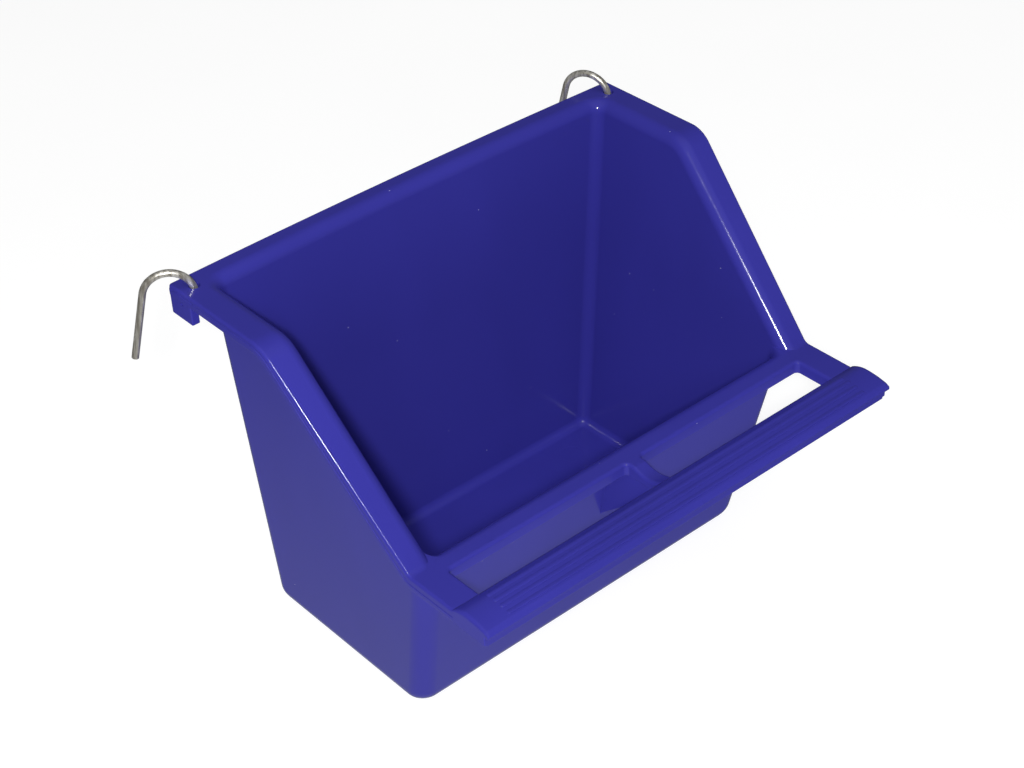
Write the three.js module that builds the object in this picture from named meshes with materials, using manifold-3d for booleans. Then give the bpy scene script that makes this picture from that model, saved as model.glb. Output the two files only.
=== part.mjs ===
// Hanging seed cup for a bird cage: one moulded tub with a rim flange, two arms, a ribbed perch
// and two ears, and two bent wire hooks that turn in the ears. Millimetres, +X right, +Y back,
// +Z up, origin at the centre of the floor's underside.
import * as THREE from 'three';
import { mergeVertices } from 'three/addons/utils/BufferGeometryUtils.js';
import Module from 'manifold-3d';

const wasm = await Module();
wasm.setup();

// Tub
const cupHeight = 103.6; // underside of the floor to the top of the back rim
const wall = 2; // moulded wall
const floorThickness = 2;
const tubTopWidth = 126.3; // outside, at the height of the back rim
const tubFloorWidth = 110.2; // outside, where the side walls would meet the floor
const floorDepth = 59.8; // outside, back to front, where the walls would meet the floor
const mouthDepth = 73.5; // outside, back wall to front wall at the height of the front rim
const uprightRound = 5.1; // outside radius of the four upright corners
const bottomRound = 5.7; // outside radius between walls and floor
const bottomCornerShare = 0.5; // how much of that inset the upright corners' radius loses
const floorFillet = 2.4; // inside radius between walls and floor
const backBow = 1.1; // the back wall's top bows out this far at its middle

// Rim flange
const rimWidth = 140.3; // across the side flanges of the back rim
const lowerRimWidth = 131; // across the arms
const topRun = 36.7; // level stretch of the side rim, from the rim's back edge
const kinkSetback = 4.2; // foot of the sloping side rim, behind the front flange's outer face
const slopeDrop = 43.4; // height from the back rim to the front rim
const backOverhang = 4.7; // rim's back edge to the tub's back wall
const frontOverhang = 5; // tub's front wall to the front flange's outer face
const plate = 2; // flange thickness
const lipHeight = 3; // down-turned edge below the back rim's top
const armLipHeight = 3.5; // down-turned edge below the arms' top, and round the windows
const lipThickness = 1.6;
const lipRound = 0.8; // outer top edge of the flange
const lipFoot = 0.35; // bevel of the lip's lower outer edge
const partingStep = 0.14; // the lip's lower part stands proud of its upper part
const partingDrop = 1.4; // place of that step below the back rim's top
const armPartingDrop = 2.2; // and below the arms' top
const rimCorner = 0.9; // back corners of the flange, seen from above
const rimFillet = 3.2; // from the inner wall onto the flange
const bendRound = 9; // where the level side rim turns down
const kinkRound = 2.5; // where the slope meets the arm

// Windows between the front flange and the perch
const armWidth = 8.2; // beside each window
const windowDepth = 10.5; // front flange to perch
const windowCorner = 1.1;
const windowRound = 0.9; // top edge of the windows

// Perch rail
const perchDepth = 12.7;
const perchBackRise = 0.1; // back edge above the arm
const perchShoulderRise = 0.6; // line just in front of the back edge, above the arm
const perchShoulderShare = 0.05; // that line's place, as a share of the depth
const perchCrownRise = 1.9; // highest line above the arm
const perchFrontRise = 0.5; // front edge above the arm
const perchCrownShare = 0.41; // crown's place, as a share of the depth from the back edge
const perchEdge = 1.4; // thickness of the front edge
const perchSkin = 1.9;
const perchEdgeRound = 0.6;
const skirtDrop = 4; // front skirt's lower edge below the arm's top
const skirtInset = 1.3; // front skirt's face behind the front edge
const skirtThickness = 1.6;
const skirtEndInset = 0.8; // front skirt's ends, in from the perch's ends
const ridgeWidth = 1.1;
const ridgeHeight = 0.38;
const ridgeEndInset = 0.9; // ridges' ends, in from the arms' inner faces
const ridgePlaceShares = [0.168, 0.363, 0.578, 0.786]; // of the perch's depth

// Middle web from the front wall to the perch
const bridgeWidth = 4.4; // top of the web, between the windows
const webThickness = 3.9;
const saddleDip = 1; // hollow of the bridge's top
const saddleSetback = 2.1; // hollow's back end, in front of the front flange
const webReach = 20.5; // down the front wall, below the arm's top

// Ears under the back corners, with the bosses that hold the hooks
const earLength = 8.9; // front to back
const earHeight = 7.9; // from the flange's top
const earWall = 2.2;
const earSetback = 0.06; // ear's faces behind the lip's
const bossRadius = 2.5;
const bossHeight = 6.1; // from the flange's top to the boss's lower end
const portRadius = 0.5; // small cored hole through the ear's outer face to the bore
const portDepth = 3.4; // its axis below the flange's top

// Wire hooks
const wireDiameter = 1.8;
const boreClearance = 0.25; // all round the wire
const hookFromSide = 4.1; // shank axis from the rim's side edge
const hookFromBack = 5.35; // shank axis from the rim's back edge
const bendRadius = 6.12; // wire's middle line
const bendCentreDrop = 1.72; // bend's centre below the flange's top
const legFlareAngle = 13.3; // degrees that the leg leans away from the shank
const legLength = 17.9; // straight part of the leg
const headRadius = 1.6; // upset end of the shank, under the boss
const headHeight = 0.8;
const headGap = 0.3; // between the boss and the upset end
const mouthFlare = 0.26; // countersink of the bore, wider than the bore at the top
const leftTurnAngle = 60; // degrees that the left hook is turned outwards from straight back
const rightTurnAngle = -25; // the right hook is turned inwards

// Shared by all cuts and joins
const overrun = 1; // cutters run this far past the faces they cut
const seat = 0.5; // joined pieces sink this far into each other
const mergeTolerance = 0.0001;
const sharpRound = 0.2; // least corner radius of the flange, on its inner outlines too

// Facets
const cornerSteps = 8;
const filletSteps = 6;
const smallSteps = 4;
const bendSteps = 8;
const boreSides = 24;
const wireSides = 12;
const wireSteps = 44;
const bowSteps = 8;

const degrees = Math.PI / 180;
const quarterTurn = Math.PI / 2;

// Places worked out from the sizes. Depths are measured from the rim's back edge, forwards.
const backWallDepth = backOverhang;
const backEdge = backOverhang + floorDepth / 2;
const yAt = (depth) => backEdge - depth;
const frontRimHeight = cupHeight - slopeDrop;
const frontLipReach = backOverhang + mouthDepth + frontOverhang;
const kinkDepth = frontLipReach - kinkSetback;
const slopeRun = kinkDepth - topRun;
const windowHalfWidth = lowerRimWidth / 2 - armWidth;
const saddleStart = frontLipReach + saddleSetback;
const perchBackDepth = frontLipReach + windowDepth;
const perchFrontDepth = perchBackDepth + perchDepth;
const hookX = rimWidth / 2 - hookFromSide;
const boreRadius = wireDiameter / 2 + boreClearance;

// Outer half width of the tub at a height
function tubHalfWidth(z) {
  return tubFloorWidth / 2 + ((tubTopWidth - tubFloorWidth) / 2) * (z / cupHeight);
}

// Depth of the tub's front wall, outside, at a height
function tubFrontDepth(z) {
  return backWallDepth + floorDepth + (mouthDepth - floorDepth) * (z / frontRimHeight);
}

// Joins and cuts closed meshes
function solidOf(geometry) {
  const bare = geometry.clone();
  bare.deleteAttribute('normal');
  bare.deleteAttribute('uv');
  const merged = mergeVertices(bare, mergeTolerance);
  const vertProperties = new Float32Array(merged.attributes.position.array);
  const triVerts = new Uint32Array(merged.index.array);
  return new wasm.Manifold(new wasm.Mesh({ numProp: 3, vertProperties, triVerts }));
}

function geometryOf(solid) {
  const mesh = solid.getMesh();
  const geometry = new THREE.BufferGeometry();
  geometry.setAttribute('position', new THREE.BufferAttribute(mesh.vertProperties, mesh.numProp));
  geometry.setIndex(new THREE.BufferAttribute(mesh.triVerts, 1));
  geometry.computeVertexNormals();
  return geometry;
}

// A solid through a stack of rings. Each ring is a closed loop of the same even count of points,
// in which point i lies across from point count - 1 - i, and the ends are closed by strips
// from side to side.
function stack(rings) {
  const count = rings[0].length;
  const points = rings.flat();
  const index = [];
  const quad = (a, b, c, d) => index.push(a, b, c, a, c, d);
  for (let level = 0; level + 1 < rings.length; level += 1) {
    const low = level * count;
    for (let i = 0; i < count; i += 1) {
      const j = (i + 1) % count;
      quad(low + i, low + j, low + count + j, low + count + i);
    }
  }
  const top = (rings.length - 1) * count;
  for (let i = 0; i + 1 < count / 2; i += 1) {
    const across = count - 1 - i;
    quad(i, across, across - 1, i + 1);
    quad(top + i, top + i + 1, top + across - 1, top + across);
  }
  if (signedVolume(points, index) < 0) index.reverse();
  const geometry = new THREE.BufferGeometry();
  const places = points.flatMap((point) => point.toArray());
  geometry.setAttribute('position', new THREE.Float32BufferAttribute(places, 3));
  geometry.setIndex(index);
  return solidOf(geometry);
}

function signedVolume(points, index) {
  const cross = new THREE.Vector3();
  let sum = 0;
  for (let i = 0; i < index.length; i += 3) {
    cross.crossVectors(points[index[i + 1]], points[index[i + 2]]);
    sum += cross.dot(points[index[i]]);
  }
  return sum;
}

// A level ring: a rectangle with rounded corners, its right side from back to front and then
// its left side from front to back. The front corners may have a radius of their own, and may
// reach further along the sides than across the front.
function levelRing(
  xLow,
  xHigh,
  depthBack,
  depthFront,
  radius,
  z,
  frontRadius = radius,
  frontReach = radius
) {
  const ring = [];
  const corner = (x, depth, start, across, along) => {
    for (let i = 0; i <= cornerSteps; i += 1) {
      const angle = start - quarterTurn * (i / cornerSteps);
      ring.push(new THREE.Vector3(x + across * Math.cos(angle), yAt(depth) + along * Math.sin(angle), z));
    }
  };
  corner(xHigh - radius, depthBack + radius, quarterTurn, radius, radius);
  corner(xHigh - frontRadius, depthFront - frontReach, 0, frontRadius, frontReach);
  corner(xLow + frontRadius, depthFront - frontReach, -quarterTurn, frontRadius, frontReach);
  corner(xLow + radius, depthBack + radius, -quarterTurn * 2, radius, radius);
  return ring;
}

// The same ring with its back edge bowed out between its two ends
function bowBack(ring, bow) {
  const end = ring[0];
  const right = [];
  for (let i = 0; i < bowSteps; i += 1) {
    const share = (i + 0.5) / bowSteps;
    right.push(new THREE.Vector3(end.x * share, end.y + bow * (1 - share ** 2), end.z));
  }
  return [...right, ...ring, ...mirrored(right)];
}

// The left side's points for the right side's, from front to back
function mirrored(right) {
  return right.map((point) => new THREE.Vector3(-point.x, point.y, point.z)).reverse();
}

// A chain of [depth, height] points with its inner corners rounded. radii has one radius for each
// inner corner, and zero leaves the corner sharp.
function roundedChain(corners, radii, steps) {
  const chain = [corners[0]];
  for (let i = 1; i + 1 < corners.length; i += 1) {
    const here = new THREE.Vector2(...corners[i]);
    const before = new THREE.Vector2(...corners[i - 1]).sub(here).normalize();
    const after = new THREE.Vector2(...corners[i + 1]).sub(here).normalize();
    const radius = radii[i - 1];
    if (radius === 0) {
      chain.push(corners[i]);
      continue;
    }
    const half = Math.acos(before.dot(after)) / 2;
    const middle = before.clone().add(after).normalize().multiplyScalar(radius / Math.sin(half)).add(here);
    const from = before.multiplyScalar(radius / Math.tan(half)).add(here).sub(middle);
    const to = after.multiplyScalar(radius / Math.tan(half)).add(here).sub(middle);
    const sweep = Math.atan2(from.cross(to), from.dot(to));
    for (let step = 0; step <= steps; step += 1) {
      const point = from.clone().rotateAround(new THREE.Vector2(), sweep * (step / steps)).add(middle);
      chain.push([point.x, point.y]);
    }
  }
  chain.push(corners[corners.length - 1]);
  return chain;
}

// A prism across the cup: an outline of [depth, height] points between two X places
function acrossPrism(outline, xLow, xHigh) {
  const shape = new THREE.Shape(outline.map(([depth, z]) => new THREE.Vector2(yAt(depth), z)));
  const geometry = new THREE.ExtrudeGeometry(shape, { depth: xHigh - xLow, bevelEnabled: false });
  // The shape's plane is turned from XY to YZ, and its thickness then runs along X
  const basis = new THREE.Matrix4().makeBasis(
    new THREE.Vector3(0, 1, 0),
    new THREE.Vector3(0, 0, 1),
    new THREE.Vector3(1, 0, 0)
  );
  geometry.applyMatrix4(basis);
  geometry.translate(xLow, 0, 0);
  return solidOf(geometry);
}

// An upright prism: an outline of [x, depth] points between two heights
function uprightPrism(outline, zLow, zHigh) {
  const shape = new THREE.Shape(outline.map(([x, depth]) => new THREE.Vector2(x, yAt(depth))));
  const geometry = new THREE.ExtrudeGeometry(shape, { depth: zHigh - zLow, bevelEnabled: false });
  geometry.translate(0, 0, zLow);
  return solidOf(geometry);
}

// A box by its corners, in X, depth and height
function block(xLow, xHigh, depthBack, depthFront, zLow, zHigh) {
  const geometry = new THREE.BoxGeometry(xHigh - xLow, depthFront - depthBack, zHigh - zLow);
  geometry.translate((xLow + xHigh) / 2, yAt((depthBack + depthFront) / 2), (zLow + zHigh) / 2);
  return solidOf(geometry);
}

// A solid of revolution about an upright axis, from [radius, height] points that start and end
// on the axis
function turned(profile, x, depth) {
  const geometry = new THREE.LatheGeometry(profile.map(([r, z]) => new THREE.Vector2(r, z)), boreSides);
  geometry.rotateX(quarterTurn);
  geometry.translate(x, yAt(depth), 0);
  return solidOf(geometry);
}

// Outside of the tub: drafted walls on a rounded bottom
function tubOutside() {
  const rings = [];
  for (let i = 0; i <= filletSteps; i += 1) {
    const angle = quarterTurn * (i / filletSteps);
    const inset = bottomRound * (1 - Math.sin(angle));
    const z = bottomRound * (1 - Math.cos(angle));
    rings.push(tubRing(z, inset));
  }
  rings.push(tubRing(cupHeight - plate / 2, 0));
  // The walls end under the flange
  const top = rimChain().map(([depth, z]) => [depth, z - plate / 2]);
  const underFlange = acrossPrism(
    [[-overrun, -overrun], [-overrun, cupHeight - plate / 2], ...top.slice(1), [perchBackDepth, -overrun]],
    -rimWidth,
    rimWidth
  );
  return stack(rings).intersect(underFlange);
}

function tubRing(z, inset) {
  const half = tubHalfWidth(z) - inset;
  const radius = uprightRound - inset * bottomCornerShare;
  const ring = levelRing(-half, half, backWallDepth + inset, tubFrontDepth(z) - inset, radius, z);
  return bowBack(ring, backBow * (z / cupHeight));
}

// Cutter for the inside of the tub and its mouth. From the floor up: the fillet round the floor,
// the walls, the fillet onto the front flange, the open front, and the fillet onto the back rim.
function tubInside() {
  const rings = [];
  const corner = uprightRound - wall;
  const addRing = (z, outset, depthFront, frontRadius, frontReach) => {
    const half = tubHalfWidth(z) - wall + outset;
    const back = backWallDepth + wall - outset;
    const ring = levelRing(-half, half, back, depthFront, corner + outset, z, frontRadius, frontReach);
    rings.push(bowBack(ring, backBow * (z / cupHeight)));
  };
  for (let i = 0; i <= smallSteps; i += 1) {
    const angle = quarterTurn * (i / smallSteps);
    const z = floorThickness + floorFillet * (1 - Math.cos(angle));
    const inset = floorFillet * (1 - Math.sin(angle));
    addRing(z, -inset, tubFrontDepth(z) - wall - inset, corner - inset, corner - inset);
  }
  // At the front flange the corners are drawn out forwards only, because the side walls go on
  for (let i = 0; i <= filletSteps; i += 1) {
    const angle = quarterTurn * (i / filletSteps);
    const z = frontRimHeight - rimFillet * (1 - Math.sin(angle));
    const outset = rimFillet * (1 - Math.cos(angle));
    addRing(z, 0, tubFrontDepth(z) - wall + outset, corner, corner + outset);
  }
  const open = kinkDepth + kinkRound;
  addRing(frontRimHeight, 0, open, sharpRound, sharpRound);
  for (let i = 0; i <= filletSteps; i += 1) {
    const angle = quarterTurn * (i / filletSteps);
    const z = cupHeight - rimFillet * (1 - Math.sin(angle));
    addRing(z, rimFillet * (1 - Math.cos(angle)), open, sharpRound, sharpRound);
  }
  addRing(cupHeight + overrun, rimFillet, open, sharpRound, sharpRound);
  return stack(rings);
}

// The rim's top line from the back edge to the perch, in [depth, height]
function rimChain() {
  const corners = [
    [0, cupHeight],
    [topRun, cupHeight],
    [kinkDepth, frontRimHeight],
    [perchBackDepth + seat, frontRimHeight],
  ];
  return roundedChain(corners, [bendRound, kinkRound], bendSteps);
}

// Half width of the flange's outline where its top is at a height
function rimHalfWidth(z) {
  return (rimWidth - (rimWidth - lowerRimWidth) * ((cupHeight - z) / slopeDrop)) / 2;
}

// A ring that follows the rim's top line at a drop below it, square to the line. The drop may
// differ between the back rim and the arms.
function rimRing(halfWidthAt, backDrop, armDrop, chain) {
  const right = chain.map(([depth, z], i) => {
    const drop = armDrop + (backDrop - armDrop) * ((z - frontRimHeight) / slopeDrop);
    const before = chain[Math.max(i - 1, 0)];
    const after = chain[Math.min(i + 1, chain.length - 1)];
    const back = new THREE.Vector2(depth - before[0], z - before[1]).normalize();
    const ahead = new THREE.Vector2(after[0] - depth, after[1] - z).normalize();
    if (i === 0) back.copy(ahead);
    if (i === chain.length - 1) ahead.copy(back);
    const mitre = new THREE.Vector2(back.y + ahead.y, -back.x - ahead.x).divideScalar(1 + back.dot(ahead));
    const shiftedZ = z + mitre.y * drop;
    return new THREE.Vector3(halfWidthAt(z, shiftedZ), yAt(depth + mitre.x * drop), shiftedZ);
  });
  return [...right, ...mirrored(right)];
}

// The flange with its down-turned lip, still without the mouth and the windows. Each section of
// it has an inset from the rim's outline, a drop at the back rim and a drop at the arms.
function flange() {
  const sections = [];
  for (let i = 0; i <= smallSteps; i += 1) {
    const angle = quarterTurn * (i / smallSteps);
    const drop = lipRound * (1 - Math.cos(angle));
    sections.push([partingStep + lipRound * (1 - Math.sin(angle)), drop, drop]);
  }
  sections.push([partingStep, partingDrop - partingStep, armPartingDrop - partingStep]);
  sections.push([0, partingDrop, armPartingDrop]);
  sections.push([0, lipHeight - lipFoot, armLipHeight - lipFoot]);
  sections.push([lipFoot, lipHeight, armLipHeight]);
  sections.push([lipThickness, lipHeight, armLipHeight]);
  sections.push([lipThickness, plate, plate]);
  const rings = sections.map(([inset, backDrop, armDrop]) => {
    const ring = rimRing((z) => rimHalfWidth(z) - inset, backDrop, armDrop, rimChain().slice(1));
    // The back corners are arcs in plan, at the height of the back rim
    const radius = Math.max(rimCorner - inset, sharpRound);
    const arc = [];
    for (let i = 0; i <= cornerSteps; i += 1) {
      const angle = quarterTurn * (1 - i / cornerSteps);
      const x = rimWidth / 2 - inset - radius * (1 - Math.cos(angle));
      const y = yAt(inset + radius * (1 - Math.sin(angle)));
      arc.push(new THREE.Vector3(x, y, cupHeight - backDrop));
    }
    const right = [...arc, ...ring.slice(0, ring.length / 2)];
    return bowBack([...right, ...mirrored(right)], backBow);
  });
  return stack(rings);
}

// Cutter for the fillet from the side walls onto the sloping rim. It ends at the front rim's top,
// and starts a little off the walls.
function slopeFillet() {
  const sections = [];
  for (let i = 0; i <= filletSteps; i += 1) {
    const angle = quarterTurn * (i / filletSteps);
    sections.push([rimFillet * (1 - Math.cos(angle)), rimFillet * (1 - Math.sin(angle))]);
  }
  const [first, second] = sections;
  sections.unshift([(first[0] - second[0]) / 2, first[1] + (first[1] - second[1]) / 2]);
  sections.push([rimFillet, -overrun]);
  const chain = rimChain().slice(1, -1);
  const rings = sections.map(([outset, drop]) =>
    rimRing((z, shifted) => tubHalfWidth(shifted) - wall + outset, drop, drop, chain)
  );
  const above = block(-rimWidth, rimWidth, 0, perchBackDepth, frontRimHeight, cupHeight + rimWidth);
  return stack(rings).intersect(above);
}

// One window between the middle bridge and an arm, on the right or the left side
function windowRing(side, outset, reach, z) {
  const near = bridgeWidth / 2 - outset;
  const far = windowHalfWidth + outset;
  const [xLow, xHigh] = side > 0 ? [near, far] : [-far, -near];
  return levelRing(xLow, xHigh, frontLipReach - outset, perchBackDepth + reach, windowCorner + outset, z);
}

function windowCut(side) {
  const rings = [
    windowRing(side, 0, seat, frontRimHeight - armLipHeight - overrun),
    windowRing(side, 0, seat, frontRimHeight - windowRound),
  ];
  for (let i = 1; i <= smallSteps; i += 1) {
    const angle = quarterTurn * (i / smallSteps);
    const outset = windowRound * (1 - Math.cos(angle));
    const z = frontRimHeight - windowRound * (1 - Math.sin(angle));
    rings.push(windowRing(side, outset, seat + outset, z));
  }
  rings.push(windowRing(side, windowRound, seat + windowRound, frontRimHeight + overrun));
  return stack(rings);
}

function windowFrame(side) {
  return stack([
    windowRing(side, lipThickness, seat / 2, frontRimHeight - armLipHeight),
    windowRing(side, lipThickness, seat / 2, frontRimHeight - plate / 2),
  ]);
}

// Cutter for the hollow along the top of the bridge
function saddle() {
  const outline = [[saddleStart, frontRimHeight + overrun]];
  const reach = perchBackDepth - saddleStart;
  for (let i = 0; i <= bendSteps; i += 1) {
    const share = i / bendSteps;
    outline.push([saddleStart + reach * share, frontRimHeight - saddleDip * Math.sin(Math.PI * share)]);
  }
  outline.push([perchBackDepth, frontRimHeight + overrun]);
  return acrossPrism(outline, -bridgeWidth, bridgeWidth);
}

// Height of the perch's top at a share of its depth: a short slope up from the back edge, and then
// one arch over the crown and down to the front edge
function perchHeight(share) {
  if (share < perchShoulderShare) {
    const rise = perchShoulderRise - perchBackRise;
    return frontRimHeight + perchBackRise + rise * (share / perchShoulderShare);
  }
  const back = share < perchCrownShare;
  const end = back ? perchShoulderShare : 1;
  const fall = perchCrownRise - (back ? perchShoulderRise : perchFrontRise);
  const away = (share - perchCrownShare) / (end - perchCrownShare);
  return frontRimHeight + perchCrownRise - fall * away ** 2;
}

function perch() {
  const topFront = 1 - perchEdgeRound / perchDepth;
  const line = [[perchBackDepth, perchHeight(0)]];
  for (let i = 0; i <= bendSteps * 2; i += 1) {
    const share = perchShoulderShare + (topFront - perchShoulderShare) * (i / (bendSteps * 2));
    line.push([perchBackDepth + perchDepth * share, perchHeight(share)]);
  }
  const half = lowerRimWidth / 2;
  const edgeLow = frontRimHeight + perchFrontRise - perchEdge;
  const innerBack = perchBackDepth + lipThickness;
  const innerFront = perchFrontDepth - skirtInset - skirtThickness;
  const nose = roundedChain(
    [
      line[line.length - 1],
      [perchFrontDepth, frontRimHeight + perchFrontRise - perchEdgeRound / 2],
      [perchFrontDepth, edgeLow],
      [innerFront, edgeLow],
    ],
    [perchEdgeRound / 2, perchEdgeRound],
    smallSteps
  );
  const under = line
    .filter(([depth]) => depth > innerBack && depth < innerFront)
    .map(([depth, z]) => [depth, z - perchSkin])
    .reverse();
  // The back skirt carries on the windows' front faces, and the cheeks carry on the arms' lips
  const low = frontRimHeight - armLipHeight;
  const top = acrossPrism(
    [...line, ...nose.slice(1), ...under, [innerBack, low], [perchBackDepth, low]],
    -half,
    half
  );
  const skirtFace = perchFrontDepth - skirtInset;
  const skirt = acrossPrism(
    [
      [innerFront, frontRimHeight - skirtDrop],
      [skirtFace, frontRimHeight - skirtDrop],
      [skirtFace, frontRimHeight - perchEdge / 2],
      [innerFront, frontRimHeight - perchEdge / 2],
    ],
    -half + skirtEndInset,
    half - skirtEndInset
  );
  const cheekOutline = [...line, [skirtFace, edgeLow], [skirtFace, low], [perchBackDepth, low]];
  const leftCheek = acrossPrism(cheekOutline, -half, -half + lipThickness);
  const rightCheek = acrossPrism(cheekOutline, half - lipThickness, half);
  return top.add(skirt).add(leftCheek).add(rightCheek);
}

// One rounded ridge along the perch, seated in its top
function ridge(share) {
  const depth = perchBackDepth + perchDepth * share;
  const z = perchHeight(share);
  const outline = [[depth - ridgeWidth / 2, z - seat]];
  for (let i = 0; i <= smallSteps; i += 1) {
    const angle = Math.PI * (1 - i / smallSteps);
    outline.push([depth + (ridgeWidth / 2) * Math.cos(angle), z + ridgeHeight * Math.sin(angle)]);
  }
  outline.push([depth + ridgeWidth / 2, z - seat]);
  const half = windowHalfWidth - ridgeEndInset;
  return acrossPrism(outline, -half, half);
}

// The middle web under the bridge, with a slanting lower edge from the front wall to the perch
function middleWeb() {
  const low = frontRimHeight - webReach;
  const high = frontRimHeight - (plate + saddleDip) / 2;
  const cornerHigh = frontRimHeight - plate / 2;
  const foot = perchBackDepth + lipThickness / 2;
  const outline = [
    [tubFrontDepth(low) - wall / 2, low],
    [tubFrontDepth(cornerHigh) - wall / 2, cornerHigh],
    [frontLipReach, cornerHigh],
    [saddleStart, high],
    [foot, high],
    [foot, frontRimHeight - armLipHeight],
  ];
  return acrossPrism(outline, -webThickness / 2, webThickness / 2);
}

// One ear, on the right or the left side: an outer and a back plate round a bored boss
function ear(side) {
  const outer = rimWidth / 2 - earSetback;
  const inner = tubHalfWidth(cupHeight - earHeight) - wall / 2;
  const low = cupHeight - earHeight;
  const high = cupHeight - partingDrop;
  const outline = [[inner, earLength], [inner, earSetback]];
  for (let i = 0; i <= cornerSteps; i += 1) {
    const angle = quarterTurn * (1 - i / cornerSteps);
    const x = outer - rimCorner * (1 - Math.cos(angle));
    outline.push([x, earSetback + rimCorner * (1 - Math.sin(angle))]);
  }
  outline.push([outer, earLength]);
  const shell = uprightPrism(outline.map(([x, depth]) => [side * x, depth]), low, high);
  const pocketOuter = side * (outer - earWall);
  const pocketInner = side * (inner - overrun);
  const pocket = block(
    Math.min(pocketInner, pocketOuter),
    Math.max(pocketInner, pocketOuter),
    earWall,
    earLength + overrun,
    low - overrun,
    high
  );
  const bossLow = cupHeight - bossHeight;
  const bossProfile = [[0, bossLow], [bossRadius, bossLow], [bossRadius, high], [0, high]];
  return shell.subtract(pocket).add(turned(bossProfile, side * hookX, hookFromBack));
}

// The bore for a hook's shank, with a countersunk mouth, and the cored port beside it
function hookBore(side) {
  const low = cupHeight - earHeight - overrun;
  const mouthLow = cupHeight - bendCentreDrop;
  const bore = turned(
    [
      [0, low],
      [boreRadius, low],
      [boreRadius, mouthLow],
      [boreRadius + mouthFlare, cupHeight],
      [boreRadius + mouthFlare, cupHeight + overrun],
      [0, cupHeight + overrun],
    ],
    side * hookX,
    hookFromBack
  );
  const length = hookFromSide + overrun;
  const port = new THREE.CylinderGeometry(portRadius, portRadius, length, boreSides / 2);
  port.rotateZ(quarterTurn);
  port.translate(side * (hookX + length / 2), yAt(hookFromBack), cupHeight - portDepth);
  return bore.add(solidOf(port));
}

function cupGeometry() {
  let body = tubOutside().add(flange()).add(windowFrame(1)).add(windowFrame(-1));
  body = body.subtract(tubInside()).subtract(slopeFillet());
  body = body.subtract(windowCut(1)).subtract(windowCut(-1)).subtract(saddle());
  body = body.add(perch()).add(middleWeb());
  for (const share of ridgePlaceShares) body = body.add(ridge(share));
  body = body.add(ear(1)).add(ear(-1));
  body = body.subtract(hookBore(1)).subtract(hookBore(-1));
  return geometryOf(body);
}

// A hook with its shank on the Z axis and the flange's top at zero, its leg towards +Y
function hookGeometry() {
  const headTop = -bossHeight - headGap;
  const flare = legFlareAngle * degrees;
  const turn = Math.PI - flare;
  const path = new THREE.CurvePath();
  const bendStart = new THREE.Vector3(0, 0, -bendCentreDrop);
  path.add(new THREE.LineCurve3(new THREE.Vector3(0, 0, headTop - headHeight / 2), bendStart));
  const bendPoint = (angle) =>
    new THREE.Vector3(0, bendRadius * (1 - Math.cos(angle)), bendRadius * Math.sin(angle) - bendCentreDrop);
  const bend = new THREE.Curve();
  bend.getPoint = (t, target = new THREE.Vector3()) => target.copy(bendPoint(turn * t));
  path.add(bend);
  const legStart = bendPoint(turn);
  const along = new THREE.Vector3(0, Math.sin(flare), -Math.cos(flare));
  path.add(new THREE.LineCurve3(legStart, legStart.clone().addScaledVector(along, legLength)));
  const section = new THREE.Shape();
  for (let i = 0; i < wireSides; i += 1) {
    const angle = 2 * Math.PI * ((i + 0.5) / wireSides);
    const [u, v] = [(wireDiameter / 2) * Math.cos(angle), (wireDiameter / 2) * Math.sin(angle)];
    if (i === 0) section.moveTo(u, v);
    else section.lineTo(u, v);
  }
  section.closePath();
  const options = { steps: wireSteps, extrudePath: path, bevelEnabled: false };
  const wire = solidOf(new THREE.ExtrudeGeometry(section, options));
  const head = new THREE.CylinderGeometry(headRadius, headRadius, headHeight, boreSides);
  head.rotateX(quarterTurn);
  head.translate(0, 0, headTop - headHeight / 2);
  return geometryOf(wire.add(solidOf(head)));
}

const plastic = new THREE.MeshStandardMaterial({ color: 0x1f1a9c, roughness: 0.28, metalness: 0 });
const leftSteel = new THREE.MeshStandardMaterial({ color: 0x8d8478, roughness: 0.32, metalness: 1 });
const rightSteel = leftSteel.clone();

const assembly = new THREE.Group();

const cup = new THREE.Mesh(cupGeometry(), plastic);
cup.name = 'cup';
assembly.add(cup);

// Each hook is turned about its shank, in its ear
function addHook(name, side, turnAngle, material) {
  const hook = new THREE.Mesh(hookGeometry(), material);
  hook.name = name;
  hook.position.set(side * hookX, yAt(hookFromBack), cupHeight);
  hook.rotation.z = -side * turnAngle * degrees;
  assembly.add(hook);
}

addHook('hook_left', -1, leftTurnAngle, leftSteel);
addHook('hook_right', 1, rightTurnAngle, rightSteel);

export default assembly;
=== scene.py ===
import math

import bmesh
import bpy
from mathutils import Matrix, Vector

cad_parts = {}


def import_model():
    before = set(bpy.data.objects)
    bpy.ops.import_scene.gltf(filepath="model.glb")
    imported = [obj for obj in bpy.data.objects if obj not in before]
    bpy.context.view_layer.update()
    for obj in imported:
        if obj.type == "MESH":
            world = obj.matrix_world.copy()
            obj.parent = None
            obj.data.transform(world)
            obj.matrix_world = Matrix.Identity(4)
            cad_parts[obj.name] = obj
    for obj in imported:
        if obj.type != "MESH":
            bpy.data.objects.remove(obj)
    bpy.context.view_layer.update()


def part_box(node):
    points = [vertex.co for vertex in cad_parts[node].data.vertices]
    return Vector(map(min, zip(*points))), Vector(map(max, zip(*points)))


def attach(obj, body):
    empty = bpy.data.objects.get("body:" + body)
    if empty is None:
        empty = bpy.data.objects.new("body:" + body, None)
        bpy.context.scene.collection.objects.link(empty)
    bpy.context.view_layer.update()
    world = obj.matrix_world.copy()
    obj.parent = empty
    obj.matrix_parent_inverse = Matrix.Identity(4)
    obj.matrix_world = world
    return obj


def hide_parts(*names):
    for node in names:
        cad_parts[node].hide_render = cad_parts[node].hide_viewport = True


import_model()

cup_low, cup_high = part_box("cup")

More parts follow.
